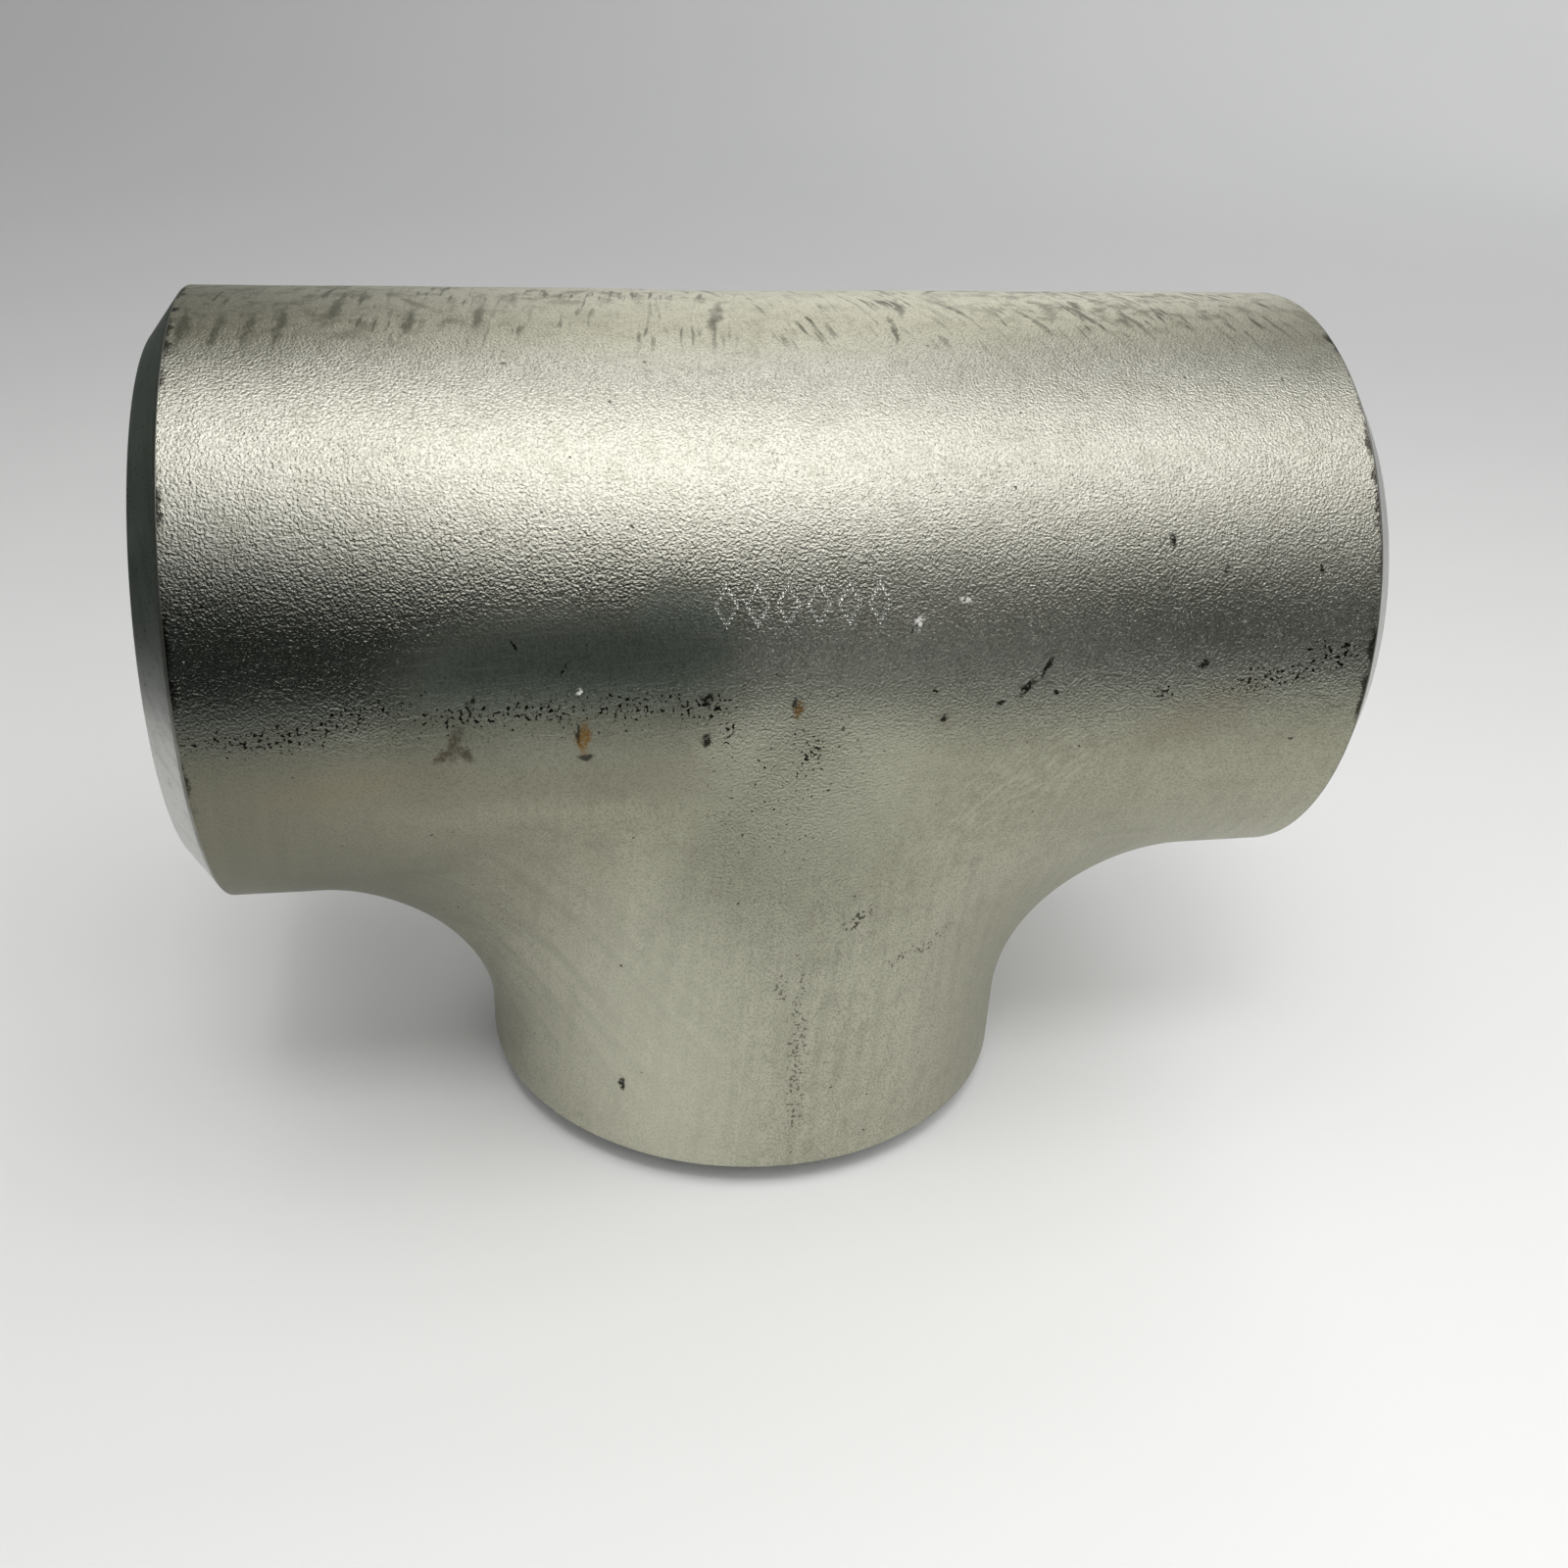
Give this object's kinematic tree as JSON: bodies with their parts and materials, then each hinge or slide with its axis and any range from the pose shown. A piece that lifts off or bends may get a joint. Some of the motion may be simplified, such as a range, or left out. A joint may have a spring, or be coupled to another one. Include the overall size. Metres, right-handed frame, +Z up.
{
  "type": "equal butt-welding pipe tee",
  "caption": "Stainless-steel pipe tee for butt welding: a straight run, a branch of the same bore at right angles, rounded crotches and a weld bevel on every open end.",
  "frame": {"origin": "centre of the branch's weld end, on the surface that the tee stands on", "axes": "+X along the run, +Y across it, +Z up the branch's axis towards the run"},
  "size_m": [0.1714, 0.0888, 0.1302],
  "materials": {
    "stainless_steel": "pickled and lightly blasted satin grey stainless steel, with a fine orange-peel skin and machined weld bevels"
  },
  "bodies": {
    "root": {"tee_body": "stainless_steel"}
  },
  "joints": []
}
